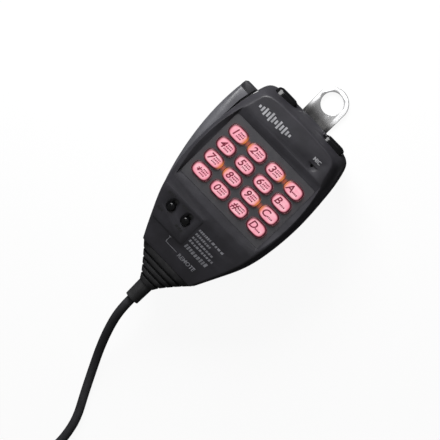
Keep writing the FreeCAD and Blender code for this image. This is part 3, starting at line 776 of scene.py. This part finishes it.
def bar(x, y, z, width, height, slant=0.0):
    facets = max(2, round(width / strokes["facet"]))
    bpy.ops.mesh.primitive_grid_add(x_subdivisions=facets, y_subdivisions=2, size=1,
                                    location=(x, y, z))
    piece = bpy.context.object
    piece.scale = (width, height, 1)
    settle(piece)
    for vertex in piece.data.vertices:
        vertex.co.x += slant * (vertex.co.y - y)
    return piece


def scribble(x, y, z, width, height, count):
    # a row of small strokes standing for fine print, with no letters in it
    widths = [random.uniform(*strokes["widths"]) for i in range(count)]
    room = width / (sum(widths) + strokes["gap"] * (count - 1))
    made, left = [], x
    for share in widths:
        middle = y + random.uniform(-strokes["wander"], strokes["wander"]) * height
        tall = height * random.uniform(*strokes["heights"])
        made.append(bar(left + share * room / 2, middle, z, share * room, tall, strokes["slant"]))
        left += (share + strokes["gap"]) * room
    return made


def printRows(rows, z):
    made = []
    for x, y, width, height, count in rows:
        made += scribble(x * mm, y * mm, z, width * mm, height * mm, count)
    return made


random.seed(7)


def makeKeys():
    pattern = makeKeyCap()
    top = cap["topZ"] + legends["lift"]
    prints = {kind: joined("print_" + kind, printRows(legends[kind], top))
              for kind in ("lines", "word")}
    for row, names in enumerate(keyRows):
        for column, name in enumerate(names):
            x, y = (column - 1.5) * keypad["pitchX"], (1.5 - row) * keypad["pitchY"]
            piece = duplicate(pattern, "cap_" + name, (x, y, 0))
            place(piece, "key_" + name, finishes["key"], ("key_" + name,))

            drop = legends["starY"] if name == "star" else 0.0
            letter = flatText(symbols.get(name, name.upper()), (x + legends["x"], y + drop, top),
                              legends["size"], legends["bold"], legends["slant"],
                              legends["thickness"])
            small = duplicate(prints["word" if name in "abcd" else "lines"], "small", (x, y, 0))
            legend = joined("legend_" + name, [letter, small])
            place(legend, "key_" + name, finishes["legend"])
    for piece in (pattern, *prints.values()):
        bpy.data.objects.remove(piece)


makeKeys()
print("keys made")


casingPrint = {
    # marks are laid out at this height and dropped on the casing; what lands outside the
    # limits, or hangs over a step higher than this, has missed the face
    "fromZ": 40 * mm, "highest": 36 * mm, "lowest": 20 * mm, "step": 0.7 * mm,
    # a row of sound-level bars, in mm
    "levels": (1.4, 2.6, 4.0, 2.8, 4.9, 3.4, 2.2, 4.4, 3.0, 4.0, 2.4, 1.4),
    "levelsAt": (-20.9, 29.4), "levelStep": 1.8, "levelWidth": 1.05,
    # labels: text, x, y, size, slant
    "mic": ("MIC", 16.6, 30.4, 2.6, 0.0), "remote": ("REMOTE", 6.8, -49.4, 2.9, 0.15), "bold": 0.06,
    # rows of fine print: left end, middle height, width, height, number of strokes
    "rows": ((0.6, -33.1, 7.6, 1.3, 7), (9.2, -33.1, 7.6, 1.3, 4), (0.6, -35.6, 9.8, 1.3, 8),
             (0.6, -37.9, 13.6, 1.3, 9), (0.6, -40.1, 15.6, 1.3, 10), (0.8, -43.4, 14.4, 2.2, 9)),
    "switchRows": ((-23.0, -30.4, 6.6, 1.3, 4), (-13.4, -30.4, 8.6, 1.3, 6),
                   (-22.2, -39.6, 3.6, 1.3, 3), (-9.4, -39.9, 4.4, 1.3, 3)),
    # thin ruled lines: middle, width, height
    "rules": ((-7.3, -47.4, 0.3, 3.2), (-3.6, -49.1, 7.6, 0.3), (-7.3, -45.9, 1.2, 0.3)),
}


def ontoShell(piece, lift):
    # lays flat marks on the casing, a hair above it
    applyModifier(piece, "SHRINKWRAP", target=fine["front_shell"], wrap_method="PROJECT",
                  use_project_z=True, use_negative_direction=True, use_positive_direction=False,
                  offset=lift)
    loose = {vertex.index for vertex in piece.data.vertices
             if not casingPrint["lowest"] <= vertex.co.z <= casingPrint["highest"]}
    for edge in piece.data.edges:
        if heightStep(piece, edge) > casingPrint["step"]:
            loose.update(edge.vertices)
    print(piece.name, "loose points:", len(loose))
    selectParts(piece, "VERT", lambda vertex: vertex.index in loose)
    bpy.ops.mesh.delete(type="VERT")
    leaveEdit()


def printOn(name, marks, finish, lift=0.05 * mm):
    piece = joined(name, marks)
    ontoShell(piece, lift)
    place(piece, "housing", finishes[finish])


def casingBar(x, y, width, height):
    return bar(x * mm, y * mm, casingPrint["fromZ"], width * mm, height * mm)


def casingLabel(text, x, y, size, slant):
    at = (x * mm, y * mm, casingPrint["fromZ"])
    return flatText(text, at, size * mm, casingPrint["bold"] * mm, slant)


def makeMarks():
    left, middle = casingPrint["levelsAt"]
    step, width = casingPrint["levelStep"], casingPrint["levelWidth"]
    levels = [casingBar(left + step * i, middle, width, tall)
              for i, tall in enumerate(casingPrint["levels"])]
    printOn("casing_sign", levels + [casingLabel(*casingPrint["mic"])], "print")

    rows = printRows(casingPrint["rows"], casingPrint["fromZ"])
    rules = [casingBar(*rule) for rule in casingPrint["rules"]]
    label = casingLabel(*casingPrint["remote"])
    printOn("casing_print", rows + rules + [label], "printDim", 0.09 * mm)

    # the embossed letters by the switches, drawn as flat strokes in painted relief shade
    printOn("switch_marks", printRows(casingPrint["switchRows"], casingPrint["fromZ"]), "relief")


makeMarks()
print("marks made")
